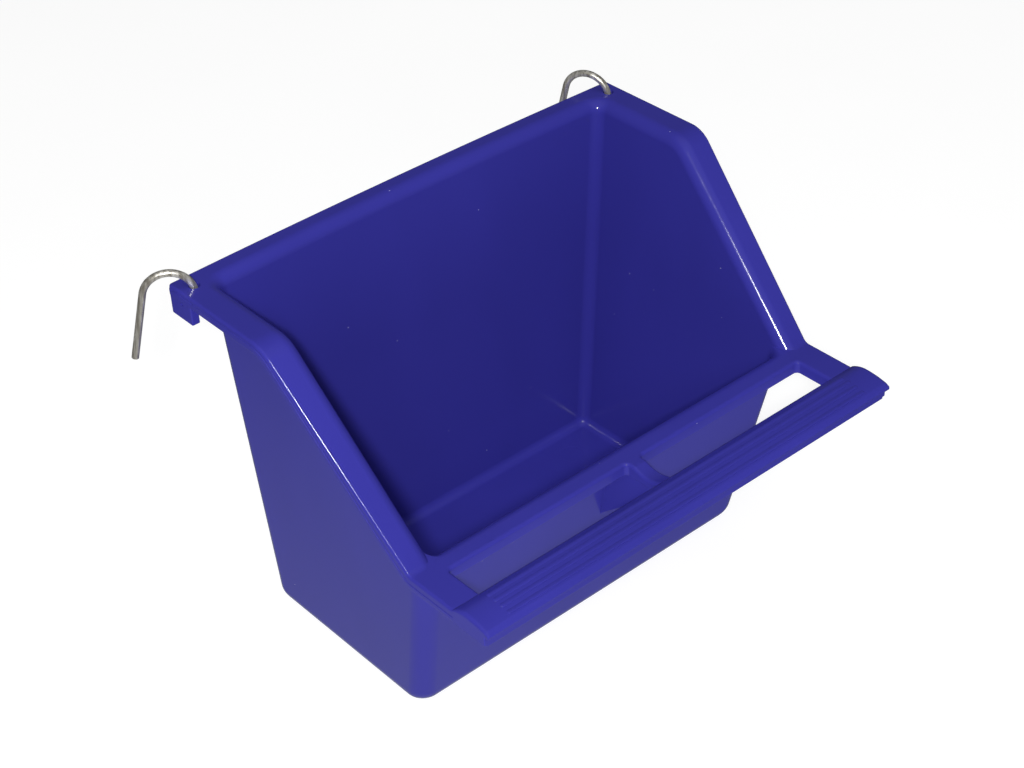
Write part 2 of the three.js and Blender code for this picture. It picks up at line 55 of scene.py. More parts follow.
# Tub
CUP_HEIGHT = 103.6
MM = (cup_high.z - cup_low.z) / CUP_HEIGHT  # one millimetre of the cup in the frame's metres
BACK_BOW = 1.1
BACK_EDGE = cup_high.y / MM - BACK_BOW
RIM_WIDTH = (cup_high.x - cup_low.x) / MM
WALL = 2
FLOOR_THICKNESS = 2
TUB_TOP_WIDTH = 126.3
TUB_FLOOR_WIDTH = 110.2
FLOOR_DEPTH = 59.8
MOUTH_DEPTH = 73.5
UPRIGHT_ROUND = 5.1
BOTTOM_ROUND = 5.7
BOTTOM_CORNER_SHARE = 0.5
FLOOR_FILLET = 2.4
FLOOR_MARK_RADIUS = 3.5  # ejector pin's ring on the floor
FLOOR_MARK_WIDTH = 0.6
FLOOR_MARK_DEPTH = 0.05
FLOOR_MARK_X = 40.2
FLOOR_MARK_DEPTH_PLACE = 16

# Rim flange
LOWER_RIM_WIDTH = 131
TOP_RUN = 36.7
KINK_SETBACK = 4.2
SLOPE_DROP = 43.4
BACK_OVERHANG = 4.7
FRONT_OVERHANG = 5
PLATE = 2
LIP_HEIGHT = 3
ARM_LIP_HEIGHT = 3.5
LIP_THICKNESS = 1.6
LIP_ROUND = 0.8
LIP_FOOT = 0.35
LIP_INNER_FOOT = 0.2
LIP_FILLET = 0.4
PARTING_STEP = 0.14
PARTING_FALL = 0.09
PARTING_DROP = 1.4
ARM_PARTING_DROP = 2.2
RIM_CORNER = 0.9
RIM_FILLET = 3.2
BEND_ROUND = 9
KINK_ROUND = 2.5

# Windows, perch and web
ARM_WIDTH = 8.2
WINDOW_DEPTH = 11
WINDOW_CORNER = 1.1
WINDOW_ROUND = 0.9
WINDOW_FOOT = 0.4
PERCH_SHOULDER_RISE = 0.6
PERCH_BACK_RISE = 0.1
PERCH_SHOULDER_SHARE = 0.05
PERCH_CROWN_RISE = 1.9
PERCH_FRONT_RISE = 0.5
PERCH_CROWN_SHARE = 0.385
PERCH_EDGE = 1.4
PERCH_SKIN = 1.9
PERCH_EDGE_ROUND = 1
PERCH_NOSE_ROUND = 0.4
PERCH_END_ROUND = 1
PERCH_END_EDGE = 0.2
PERCH_BACK_ROUND = 0.2
SKIRT_DROP = 4
SKIRT_INSET = 1.3
SKIRT_THICKNESS = 1.6
SKIRT_END_INSET = 0.8
SKIRT_ROUND = 0.3
RIDGE_WIDTH = 1.3
RIDGE_HEIGHT = 0.19
RIDGE_END_REACH = 0.8
RIDGE_END_ROUND = 0.6
RIDGE_PLACE_SHARES = (0.275, 0.451, 0.631, 0.811)
BRIDGE_WIDTH = 4.4
WEB_THICKNESS = 3.9
WEB_ROUND = 0.3
SADDLE_DIP = 1
SADDLE_SETBACK = 2.1
WEB_REACH = 22.7

# Ears and bores
EAR_LENGTH = 8.9
EAR_HEIGHT = 7.9
EAR_WALL = 2.2
EAR_SETBACK = 0.06
EAR_ROUND = 0.3
EAR_FILLET = 0.5
BOSS_RADIUS = 2.5
BOSS_HEIGHT = 6.1
BOSS_ROUND = 0.3
PORT_RADIUS = 0.5
PORT_DEPTH = 3.4

# Hooks
WIRE_DIAMETER = 1.8
BORE_CLEARANCE = 0.25
HOOK_FROM_SIDE = 4.1
HOOK_FROM_BACK = 5.35
BEND_RADIUS = 6.12
BEND_CENTRE_DROP = 1.72
LEG_FLARE_ANGLE = math.radians(13.3)
LEG_LENGTH = 17.9
LEG_END_ROUND = 0.15
HEAD_RADIUS = 1.6
HEAD_HEIGHT = 0.8
HEAD_ROUND = 0.2
HEAD_GAP = 0.3
MOUTH_FLARE = 0.26
LEFT_TURN_ANGLE = math.radians(60)
RIGHT_TURN_ANGLE = math.radians(-25)

# Cuts and joins
OVERRUN = 1
SEAT = 0.5
MERGE = 0.0002
SHARP_ROUND = 0.2

# Steps of the curves
CORNER_STEPS = 18
FILLET_STEPS = 14
SMALL_STEPS = 7
BEND_STEPS = 26
BOW_STEPS = 20
SADDLE_STEPS = 16
TURN_STEPS = 72
WIRE_SIDES = 40
WIRE_STEPS = 90
SHARP_ANGLE = math.radians(32)

QUARTER = math.pi / 2

FRONT_RIM = CUP_HEIGHT - SLOPE_DROP
FRONT_LIP_REACH = BACK_OVERHANG + MOUTH_DEPTH + FRONT_OVERHANG
KINK_DEPTH = FRONT_LIP_REACH - KINK_SETBACK
WINDOW_HALF = LOWER_RIM_WIDTH / 2 - ARM_WIDTH
SADDLE_START = FRONT_LIP_REACH + SADDLE_SETBACK
PERCH_BACK_DEPTH = FRONT_LIP_REACH + WINDOW_DEPTH
PERCH_FRONT_DEPTH = BACK_EDGE - cup_low.y / MM
PERCH_DEPTH = PERCH_FRONT_DEPTH - PERCH_BACK_DEPTH
PERCH_HALF = LOWER_RIM_WIDTH / 2
HOOK_X = RIM_WIDTH / 2 - HOOK_FROM_SIDE
BORE_RADIUS = WIRE_DIAMETER / 2 + BORE_CLEARANCE


def y_at(depth):
    return BACK_EDGE - depth


def arc(steps):
    """Each step's share of a quarter round, as how far it still is from the end and how far it
    has come from the start: (1 - sine, 1 - cosine)."""
    for i in range(steps + 1):
        angle = QUARTER * i / steps
        yield 1 - math.sin(angle), 1 - math.cos(angle)


# Meshes and solids

def solid(name, points, faces):
    """A closed mesh in millimetres of the cup, its faces turned outwards."""
    mesh = bpy.data.meshes.new(name)
    mesh.from_pydata([tuple(p) for p in points], [], faces)
    shape = bmesh.new()
    shape.from_mesh(mesh)
    bmesh.ops.remove_doubles(shape, verts=shape.verts, dist=MERGE)
    bmesh.ops.dissolve_degenerate(shape, dist=MERGE / 2, edges=shape.edges)
    bmesh.ops.recalc_face_normals(shape, faces=shape.faces)
    shape.to_mesh(mesh)
    shape.free()
    piece = bpy.data.objects.new(name, mesh)
    bpy.context.scene.collection.objects.link(piece)
    return piece


def combined(base, others, operation):
    """The others are joined to base, or cut from it, one after another."""
    for other in others:
        step = base.modifiers.new(operation, "BOOLEAN")
        step.operation = operation
        step.solver = "MANIFOLD"
        step.object = other
    depsgraph = bpy.context.evaluated_depsgraph_get()
    mesh = bpy.data.meshes.new_from_object(base.evaluated_get(depsgraph))
    base.modifiers.clear()
    base.data = mesh
    for other in others:
        bpy.data.objects.remove(other)
    return base


def stack(name, rings):
    """A solid through a stack of rings. In each ring, point i lies across from point
    count - 1 - i, and the ends are closed by strips from side to side."""
    count = len(rings[0])
    points = [point for ring in rings for point in ring]
    faces = []
    for level in range(len(rings) - 1):
        low = level * count
        for i in range(count):
            j = (i + 1) % count
            faces.append((low + i, low + j, low + count + j, low + count + i))
    top = (len(rings) - 1) * count
    for i in range(count // 2 - 1):
        across = count - 1 - i
        faces.append((i, across, across - 1, i + 1))
        faces.append((top + i, top + i + 1, top + across - 1, top + across))
    return solid(name, points, faces)


def level_ring(
    x_low, x_high, back, front, radius, z, front_radius=None, front_reach=None, sides=()
):
    """A level rectangle with rounded corners, its right side from back to front and then its
    left side from front to back. sides are the depths of more points along both sides."""
    front_radius = radius if front_radius is None else front_radius
    front_reach = radius if front_reach is None else front_reach
    ring = []

    def corner(x, depth, start, across, along):
        for i in range(CORNER_STEPS + 1):
            angle = start - QUARTER * i / CORNER_STEPS
            y = y_at(depth) + along * math.sin(angle)
            ring.append(Vector((x + across * math.cos(angle), y, z)))

    corner(x_high - radius, back + radius, QUARTER, radius, radius)
    ring.extend(Vector((x_high, y_at(depth), z)) for depth in sides)
    corner(x_high - front_radius, front - front_reach, 0, front_radius, front_reach)
    corner(x_low + front_radius, front - front_reach, -QUARTER, front_radius, front_reach)
    ring.extend(Vector((x_low, y_at(depth), z)) for depth in reversed(sides))
    corner(x_low + radius, back + radius, -2 * QUARTER, radius, radius)
    return ring


def mirrored(right):
    return [Vector((-p.x, p.y, p.z)) for p in reversed(right)]


def bow_back(ring, bow):
    """The same ring with its back edge bowed out between its two ends."""
    end = ring[0]
    right = []
    for i in range(BOW_STEPS):
        share = (i + 0.5) / BOW_STEPS
        right.append(Vector((end.x * share, end.y + bow * (1 - share**2), end.z)))
    return right + ring + mirrored(right)


def rounded(corners, radii, steps=SMALL_STEPS, closed=False):
    """A line of flat points with some corners rounded. radii has one radius for each corner."""
    points = [Vector(corner) for corner in corners]
    line = []
    for i, here in enumerate(points):
        radius = radii[i]
        if radius == 0 or (not closed and i in (0, len(points) - 1)):
            line.append(here)
            continue
        before = (points[i - 1] - here).normalized()
        after = (points[(i + 1) % len(points)] - here).normalized()
        half = math.acos(max(-1, min(1, before.dot(after)))) / 2
        middle = here + (before + after).normalized() * (radius / math.sin(half))
        start = here + before * (radius / math.tan(half)) - middle
        end = here + after * (radius / math.tan(half)) - middle
        sweep = math.atan2(start.x * end.y - start.y * end.x, start.dot(end))
        for step in range(steps + 1):
            turn = Matrix.Rotation(sweep * step / steps, 2)
            line.append(middle + turn @ start)
    return line


def inset_loop(loop, inset):
    """A closed flat outline moved inwards, each corner along its mitre."""
    if inset == 0:
        return loop
    count = len(loop)
    area = sum(loop[i - 1].x * loop[i].y - loop[i - 1].y * loop[i].x for i in range(count))
    side = 1 if area > 0 else -1
    moved = []
    for i, here in enumerate(loop):
        before = (here - loop[i - 1]).normalized()
        after = (loop[(i + 1) % count] - here).normalized()
        inwards = Vector((-before.y - after.y, before.x + after.x)) * side
        moved.append(here + inwards * (inset / (1 + before.dot(after))))
    return moved


def prism(name, loop, levels, place):
    """A prism along a line: at each of levels, (place along the line, inset of the outline)."""
    count = len(loop)
    points = []
    faces = []
    for along, inset in levels:
        points.extend(place(p.x, p.y, along) for p in inset_loop(loop, inset))
    for level in range(len(levels) - 1):
        low = level * count
        for i in range(count):
            j = (i + 1) % count
            faces.append((low + i, low + j, low + count + j, low + count + i))
    top = (len(levels) - 1) * count
    faces.append(tuple(reversed(range(count))))
    faces.append(tuple(range(top, top + count)))
    return solid(name, points, faces)


def across(depth, z, x):
    return (x, y_at(depth), z)


def upright(x, depth, z):
    return (x, y_at(depth), z)


def levels_between(low, high, low_round=0, high_round=0):
    """Levels of a prism from low to high, with its end edges rounded."""
    levels = []
    for left, come in arc(SMALL_STEPS) if low_round else [(0, 0)]:
        levels.append((low + low_round * come, low_round * left))
    for left, come in reversed(list(arc(SMALL_STEPS))) if high_round else [(0, 0)]:
        levels.append((high - high_round * come, high_round * left))
    return levels


def turned(name, profile, x, depth, steps=TURN_STEPS):
    """A solid of revolution about an upright axis, from (radius, height) points that start and
    end on the axis."""
    points = []
    faces = []
    for i in range(steps):
        angle = 4 * QUARTER * i / steps
        for radius, z in profile:
            y = y_at(depth) + radius * math.sin(angle)
            points.append((x + radius * math.cos(angle), y, z))
    count = len(profile)
    for i in range(steps):
        j = (i + 1) % steps
        for k in range(count - 1):
            face = (i * count + k, j * count + k, j * count + k + 1, i * count + k + 1)
            faces.append(face)
    return solid(name, points, faces)


# The cup

def tub_half(z):
    return TUB_FLOOR_WIDTH / 2 + (TUB_TOP_WIDTH - TUB_FLOOR_WIDTH) / 2 * z / CUP_HEIGHT


def tub_front(z):
    return BACK_OVERHANG + FLOOR_DEPTH + (MOUTH_DEPTH - FLOOR_DEPTH) * z / FRONT_RIM


def tub_ring(z, inset):
    half = tub_half(z) - inset
    radius = UPRIGHT_ROUND - inset * BOTTOM_CORNER_SHARE
    ring = level_ring(-half, half, BACK_OVERHANG + inset, tub_front(z) - inset, radius, z)
    return bow_back(ring, BACK_BOW * z / CUP_HEIGHT)


def rim_chain():
    """The rim's top line from the back edge to the perch, in (depth, height)."""
    corners = [
        (0, CUP_HEIGHT),
        (TOP_RUN, CUP_HEIGHT),
        (KINK_DEPTH, FRONT_RIM),
        (PERCH_BACK_DEPTH + SEAT, FRONT_RIM),
    ]
    return rounded(corners, [0, BEND_ROUND, KINK_ROUND, 0], BEND_STEPS)


def tub_outside():
    """Drafted walls on a rounded bottom, up to just under the flange's top."""
    rings = []
    for left, come in arc(FILLET_STEPS):
        rings.append(tub_ring(BOTTOM_ROUND * come, BOTTOM_ROUND * left))
    rings.append(tub_ring(CUP_HEIGHT - PLATE / 2, 0))
    top = [Vector((p.x, p.y - PLATE / 2)) for p in rim_chain()[1:]]
    low = [Vector((PERCH_BACK_DEPTH, -OVERRUN)), Vector((-OVERRUN, -OVERRUN))]
    high = [Vector((-OVERRUN, CUP_HEIGHT - PLATE / 2))]
    under = prism("under_flange", high + top + low, levels_between(-RIM_WIDTH, RIM_WIDTH), across)
    return combined(stack("tub", rings), [under], "INTERSECT")


def tub_inside():
    """Cutter for the inside of the tub and its open mouth."""
    rings = []
    corner = UPRIGHT_ROUND - WALL

    def add_ring(z, outset, front, front_radius, front_reach):
        half = tub_half(z) - WALL + outset
        back = BACK_OVERHANG + WALL - outset
        ring = level_ring(-half, half, back, front, corner + outset, z, front_radius, front_reach)
        rings.append(bow_back(ring, BACK_BOW * z / CUP_HEIGHT))

    for left, come in arc(FILLET_STEPS):
        z = FLOOR_THICKNESS + FLOOR_FILLET * come
        inset = FLOOR_FILLET * left
        add_ring(z, -inset, tub_front(z) - WALL - inset, corner - inset, corner - inset)
    for left, come in arc(FILLET_STEPS):
        z = FRONT_RIM - RIM_FILLET * left
        outset = RIM_FILLET * come
        add_ring(z, 0, tub_front(z) - WALL + outset, corner, corner + outset)
    opening = KINK_DEPTH + KINK_ROUND
    add_ring(FRONT_RIM, 0, opening, SHARP_ROUND, SHARP_ROUND)
    for left, come in arc(FILLET_STEPS):
        z = CUP_HEIGHT - RIM_FILLET * left
        add_ring(z, RIM_FILLET * come, opening, SHARP_ROUND, SHARP_ROUND)
    add_ring(CUP_HEIGHT + OVERRUN, RIM_FILLET, opening, SHARP_ROUND, SHARP_ROUND)
    return stack("tub_inside", rings)


def rim_half(z):
    return (RIM_WIDTH - (RIM_WIDTH - LOWER_RIM_WIDTH) * (CUP_HEIGHT - z) / SLOPE_DROP) / 2


def rim_ring(half_at, back_drop, arm_drop, chain):
    """The right half of a ring that follows the rim's top line at a drop below it, square to
    the line. The drop may differ between the back rim and the arms."""
    right = []
    for i, point in enumerate(chain):
        drop = arm_drop + (back_drop - arm_drop) * (point.y - FRONT_RIM) / SLOPE_DROP
        back = (point - chain[i - 1]).normalized() if i else None
        ahead = (chain[i + 1] - point).normalized() if i + 1 < len(chain) else back
        back = back or ahead
        mitre = Vector((back.y + ahead.y, -back.x - ahead.x)) / (1 + back.dot(ahead))
        z = point.y + mitre.y * drop
        right.append(Vector((half_at(point.y, z), y_at(point.x + mitre.x * drop), z)))
    return right


def lip_sections():
    """Sections of the flange's edge, as (inset, drop at the back rim, drop at the arms)."""
    sections = []
    for left, come in arc(SMALL_STEPS):
        drop = LIP_ROUND * come
        sections.append((PARTING_STEP + LIP_ROUND * left, drop, drop))
    for inset, fall in ((PARTING_STEP, 0), (0, PARTING_FALL)):
        drop = fall - PARTING_STEP
        sections.append((inset, PARTING_DROP + drop, ARM_PARTING_DROP + drop))
    for left, come in reversed(list(arc(SMALL_STEPS))):
        rise = LIP_FOOT * come
        sections.append((LIP_FOOT * left, LIP_HEIGHT - rise, ARM_LIP_HEIGHT - rise))
    inner = LIP_THICKNESS - LIP_INNER_FOOT
    sections.append((inner, LIP_HEIGHT, ARM_LIP_HEIGHT))
    rise = LIP_INNER_FOOT
    sections.append((LIP_THICKNESS, LIP_HEIGHT - rise, ARM_LIP_HEIGHT - rise))
    for left, come in arc(SMALL_STEPS):
        drop = PLATE + LIP_FILLET * left
        sections.append((LIP_THICKNESS + LIP_FILLET * come, drop, drop))
    return sections


def flange():
    """The rim's plate with its down-turned lip, full inside, where the tub's inside is cut."""
    chain = rim_chain()[1:]
    rings = []
    for inset, back_drop, arm_drop in lip_sections():
        radius = max(RIM_CORNER - inset, SHARP_ROUND)
        right = []
        for left, come in arc(CORNER_STEPS):
            x = RIM_WIDTH / 2 - inset - radius * left
            y = y_at(inset + radius * come)
            right.append(Vector((x, y, CUP_HEIGHT - back_drop)))
        right += rim_ring(lambda z, _: rim_half(z) - inset, back_drop, arm_drop, chain)
        rings.append(bow_back(right + mirrored(right), BACK_BOW))
    return stack("flange", rings)


def slope_fillet():
    """Cutter for the fillet from the side walls onto the sloping rim."""
    sections = [(RIM_FILLET * come, RIM_FILLET * left) for left, come in arc(FILLET_STEPS)]
    first, second = sections[:2]
    start = ((first[0] - second[0]) / 2, first[1] + (first[1] - second[1]) / 2)
    chain = rim_chain()[1:-1]
    rings = []
    for outset, drop in [start, *sections, (RIM_FILLET, -OVERRUN)]:
        right = rim_ring(lambda _, z: tub_half(z) - WALL + outset, drop, drop, chain)
        rings.append(right + mirrored(right))
    cutter = stack("slope_fillet", rings)
    ends = [(0, FRONT_RIM), (PERCH_BACK_DEPTH, FRONT_RIM)]
    ends += [(PERCH_BACK_DEPTH, 2 * CUP_HEIGHT), (0, 2 * CUP_HEIGHT)]
    loop = [Vector(p) for p in ends]
    above = prism("above", loop, levels_between(-RIM_WIDTH, RIM_WIDTH), across)
    return combined(cutter, [above], "INTERSECT")


def saddle_height(depth):
    """The height of the bridge's hollow top."""
    share = (depth - SADDLE_START) / (PERCH_BACK_DEPTH - SADDLE_START)
    if share <= 0 or share >= 1:
        return FRONT_RIM
    return FRONT_RIM - SADDLE_DIP * math.sin(math.pi * share)


def saddle_depths():
    reach = PERCH_BACK_DEPTH - SADDLE_START
    return [SADDLE_START + reach * i / SADDLE_STEPS for i in range(SADDLE_STEPS + 1)]


def window_ring(side, outset, reach, z, dips=True):
    """The window's outline. Beside the bridge it dips with the bridge's hollow top."""
    near = BRIDGE_WIDTH / 2 - outset
    far = WINDOW_HALF + outset
    low, high = (near, far) if side > 0 else (-far, -near)
    back = FRONT_LIP_REACH - outset
    front = PERCH_BACK_DEPTH + reach
    sides = [d for d in saddle_depths() if d < front - WINDOW_CORNER - outset]
    ring = level_ring(low, high, back, front, WINDOW_CORNER + outset, z, sides=sides)
    if dips:
        for p in ring:
            if abs(p.x) < WINDOW_HALF / 2:
                p.z += saddle_height(BACK_EDGE - p.y) - FRONT_RIM
    return ring


def window_cut(side):
    """Cutter for one window, its upper and lower edges rounded over."""
    low = FRONT_RIM - ARM_LIP_HEIGHT
    rings = [window_ring(side, WINDOW_FOOT, SEAT, low - OVERRUN, False)]
    for left, come in arc(SMALL_STEPS):
        z = low + WINDOW_FOOT * come
        rings.append(window_ring(side, WINDOW_FOOT * left, SEAT, z, False))
    for left, come in arc(SMALL_STEPS):
        outset = WINDOW_ROUND * come
        rings.append(window_ring(side, outset, SEAT + outset, FRONT_RIM - WINDOW_ROUND * left))
    rings.append(window_ring(side, WINDOW_ROUND, SEAT + WINDOW_ROUND, FRONT_RIM + OVERRUN))
    return stack("window", rings)


def window_frame(side):
    """The block round a window that is left, once the window is cut, as its down-turned lip."""
    low, high = FRONT_RIM - ARM_LIP_HEIGHT, FRONT_RIM - PLATE / 2
    rings = [window_ring(side, LIP_THICKNESS, SEAT / 2, z, False) for z in (low, high)]
    return stack("window_frame", rings)


def saddle():
    """Cutter for the hollow along the top of the bridge."""
    loop = [Vector((SADDLE_START, FRONT_RIM + OVERRUN))]
    loop += [Vector((depth, saddle_height(depth))) for depth in saddle_depths()]
    loop.append(Vector((PERCH_BACK_DEPTH, FRONT_RIM + OVERRUN)))
    return prism("saddle", loop, levels_between(-BRIDGE_WIDTH, BRIDGE_WIDTH), across)


def perch_height(share):
    """The perch's top: a short shoulder at the back, then an arch that is highest at its crown."""
    if share < PERCH_SHOULDER_SHARE:
        rise = PERCH_SHOULDER_RISE - PERCH_BACK_RISE
        return FRONT_RIM + PERCH_BACK_RISE + rise * share / PERCH_SHOULDER_SHARE
    back = share < PERCH_CROWN_SHARE
    end = PERCH_SHOULDER_SHARE if back else 1
    fall = PERCH_CROWN_RISE - (PERCH_SHOULDER_RISE if back else PERCH_FRONT_RISE)
    away = (share - PERCH_CROWN_SHARE) / (end - PERCH_CROWN_SHARE)
    return FRONT_RIM + PERCH_CROWN_RISE - fall * away**2


def perch_line():
    """The perch's top, in (depth, height), without its back corner and its nose."""
    top_front = 1 - PERCH_EDGE_ROUND / PERCH_DEPTH
    line = []
    for i in range(2 * BEND_STEPS + 1):
        share = PERCH_SHOULDER_SHARE + (top_front - PERCH_SHOULDER_SHARE) * i / (2 * BEND_STEPS)
        line.append((PERCH_BACK_DEPTH + PERCH_DEPTH * share, perch_height(share)))
    return line


def perch_place(depth, z, x):
    """A place on the perch, its top rounded off towards both ends."""
    into = max(0, abs(x) - PERCH_HALF + PERCH_END_ROUND) / PERCH_END_ROUND
    drop = PERCH_END_ROUND * (1 - math.sqrt(max(0, 1 - into**2)))
    share = min(max((z - FRONT_RIM) / PERCH_CROWN_RISE, 0), 1)
    return (x, y_at(depth), z - drop * share)


def perch_end():
    """Levels from the perch's right end inwards, close together on its rounding."""
    for left, come in arc(SMALL_STEPS):
        inwards = PERCH_END_ROUND * come
        yield PERCH_HALF - inwards, max(0, PERCH_END_EDGE - inwards)


def perch_parts():
    """The perch's arched top with its back skirt, its front skirt and its two cheeks."""
    line = perch_line()
    back_top = (PERCH_BACK_DEPTH, perch_height(0))
    low = FRONT_RIM - ARM_LIP_HEIGHT
    edge_low = FRONT_RIM + PERCH_FRONT_RISE - PERCH_EDGE
    inner_back = PERCH_BACK_DEPTH + LIP_THICKNESS
    face = PERCH_FRONT_DEPTH - SKIRT_INSET
    inner_front = face - SKIRT_THICKNESS
    nose = [(PERCH_FRONT_DEPTH, FRONT_RIM + PERCH_FRONT_RISE - PERCH_EDGE_ROUND / 2)]
    nose += [(PERCH_FRONT_DEPTH, edge_low), (inner_front, edge_low)]
    under = [(d, z - PERCH_SKIN) for d, z in reversed(line) if inner_back < d < inner_front]
    foot = [(inner_back, low), (PERCH_BACK_DEPTH, low)]
    corners = [back_top, *line, *nose, *under, *foot]
    radii = [PERCH_BACK_ROUND] + [0] * len(line) + [PERCH_EDGE_ROUND / 2, PERCH_NOSE_ROUND, 0]
    radii += [0] * len(under) + [SKIRT_ROUND / 2, SKIRT_ROUND]
    loop = rounded(corners, radii, closed=True)
    left_end = [(-x, inset) for x, inset in perch_end()]
    right_end = list(reversed(list(perch_end())))
    parts = [prism("perch_top", loop, left_end + right_end, perch_place)]
    high = FRONT_RIM - PERCH_EDGE / 2
    drop = FRONT_RIM - SKIRT_DROP
    skirt = [(inner_front, drop), (face, drop), (face, high), (inner_front, high)]
    loop = rounded(skirt, [SKIRT_ROUND, SKIRT_ROUND, 0, 0], closed=True)
    half = PERCH_HALF - SKIRT_END_INSET
    ends = levels_between(-half, half, SKIRT_ROUND, SKIRT_ROUND)
    parts.append(prism("perch_skirt", loop, ends, across))
    cheek = [back_top, *line, (face, edge_low), (face, low), (PERCH_BACK_DEPTH, low)]
    radii = [PERCH_BACK_ROUND] + [0] * len(line) + [0, SKIRT_ROUND, 0]
    loop = rounded(cheek, radii, closed=True)
    inner = PERCH_HALF - LIP_THICKNESS
    left = left_end + [(-inner, 0)]
    right = [(inner, 0)] + right_end
    return parts + [prism("cheek", loop, levels, perch_place) for levels in (left, right)]


def ridge(share):
    """One rounded ridge along the perch, its ends running out into the perch's top."""
    depth = PERCH_BACK_DEPTH + PERCH_DEPTH * share
    z = perch_height(share)
    half = WINDOW_HALF + RIDGE_END_REACH
    swell = []
    for left, come in list(arc(SMALL_STEPS))[1:]:
        swell.append((half - RIDGE_END_ROUND * come, 1 - left))
    stations = [(-x, size) for x, size in swell] + [(x, size) for x, size in reversed(swell)]
    stations.sort(key=lambda station: station[0])
    count = 2 * SMALL_STEPS + 3
    points = []
    faces = []
    for x, size in stations:
        points.append(across(depth - RIDGE_WIDTH / 2 * size, z - SEAT, x))
        for i in range(count - 2):
            angle = 2 * QUARTER * (1 - i / (count - 3))
            d = depth + RIDGE_WIDTH / 2 * size * math.cos(angle)
            points.append(across(d, z + RIDGE_HEIGHT * size * math.sin(angle), x))
        points.append(across(depth + RIDGE_WIDTH / 2 * size, z - SEAT, x))
    for station in range(len(stations) - 1):
        low = station * count
        for i in range(count):
            j = (i + 1) % count
            faces.append((low + i, low + j, low + count + j, low + count + i))
    top = (len(stations) - 1) * count
    faces.append(tuple(reversed(range(count))))
    faces.append(tuple(range(top, top + count)))
    return solid("ridge", points, faces)


def middle_web():
    """The upright web under the bridge, its lower edge slanting from the tub to the perch."""
    low = FRONT_RIM - WEB_REACH
    high = FRONT_RIM - (PLATE + SADDLE_DIP) / 2
    corner_high = FRONT_RIM - PLATE / 2
    foot = PERCH_BACK_DEPTH + LIP_THICKNESS / 2
    corners = [
        (tub_front(low) - WALL / 2, low),
        (tub_front(corner_high) - WALL / 2, corner_high),
        (FRONT_LIP_REACH, corner_high),
        (SADDLE_START, high),
        (foot, high),
        (foot, FRONT_RIM - ARM_LIP_HEIGHT),
    ]
    loop = [Vector(corner) for corner in corners]
    half = WEB_THICKNESS / 2
    return prism("web", loop, levels_between(-half, half, WEB_ROUND, WEB_ROUND), across)


def ear_parts(side):
    """An outer and a back plate round a bored boss, under one back corner of the flange."""
    outer = RIM_WIDTH / 2 - EAR_SETBACK
    inner = tub_half(CUP_HEIGHT - EAR_HEIGHT) - WALL / 2
    low = CUP_HEIGHT - EAR_HEIGHT
    high = CUP_HEIGHT - PARTING_DROP
    corners = [
        (inner, EAR_SETBACK),
        (outer, EAR_SETBACK),
        (outer, EAR_LENGTH),
        (outer - EAR_WALL, EAR_LENGTH),
        (outer - EAR_WALL, EAR_WALL),
        (inner, EAR_WALL),
    ]
    radii = [0, RIM_CORNER, EAR_ROUND, EAR_ROUND, EAR_FILLET, 0]
    loop = rounded([(side * x, depth) for x, depth in corners], radii, closed=True)
    shell = prism("ear", loop, levels_between(low, high, EAR_ROUND), upright)
    boss_low = CUP_HEIGHT - BOSS_HEIGHT
    profile = [(0, boss_low)]
    for left, come in arc(SMALL_STEPS):
        profile.append((BOSS_RADIUS - BOSS_ROUND * left, boss_low + BOSS_ROUND * come))
    profile += [(BOSS_RADIUS, high), (0, high)]
    return [shell, turned("boss", profile, side * HOOK_X, HOOK_FROM_BACK)]


def bore_parts(side):
    """The bore for a hook's shank with its countersunk mouth, and the cored port beside it."""
    low = CUP_HEIGHT - EAR_HEIGHT - OVERRUN
    mouth_low = CUP_HEIGHT - BEND_CENTRE_DROP
    mouth = BORE_RADIUS + MOUTH_FLARE
    profile = [(0, low), (BORE_RADIUS, low), (BORE_RADIUS, mouth_low), (mouth, CUP_HEIGHT)]
    profile += [(mouth, CUP_HEIGHT + OVERRUN), (0, CUP_HEIGHT + OVERRUN)]
    bore = turned("bore", profile, side * HOOK_X, HOOK_FROM_BACK)
    circle = []
    for i in range(TURN_STEPS // 2):
        angle = 8 * QUARTER * i / TURN_STEPS
        depth = HOOK_FROM_BACK + PORT_RADIUS * math.cos(angle)
        circle.append(Vector((depth, CUP_HEIGHT - PORT_DEPTH + PORT_RADIUS * math.sin(angle))))
    ends = sorted((side * HOOK_X, side * (RIM_WIDTH / 2 + OVERRUN)))
    return [bore, prism("port", circle, levels_between(*ends), across)]


def floor_mark():
    """Cutter for the shallow ring that an ejector pin leaves on the floor."""
    top = FLOOR_THICKNESS + FLOOR_MARK_DEPTH
    half = FLOOR_MARK_WIDTH / 2
    points = []
    faces = []
    section = [(-half, top), (0, FLOOR_THICKNESS - FLOOR_MARK_DEPTH), (half, top)]
    for i in range(TURN_STEPS):
        angle = 4 * QUARTER * i / TURN_STEPS
        for out, z in section:
            radius = FLOOR_MARK_RADIUS + out
            y = y_at(FLOOR_MARK_DEPTH_PLACE) + radius * math.sin(angle)
            points.append((FLOOR_MARK_X + radius * math.cos(angle), y, z))
    for i in range(TURN_STEPS):
        j = (i + 1) % TURN_STEPS
        for k in range(len(section)):
            after = (k + 1) % len(section)
            first, second = len(section) * i, len(section) * j
            faces.append((first + k, second + k, second + after, first + after))
    return solid("floor_mark", points, faces)


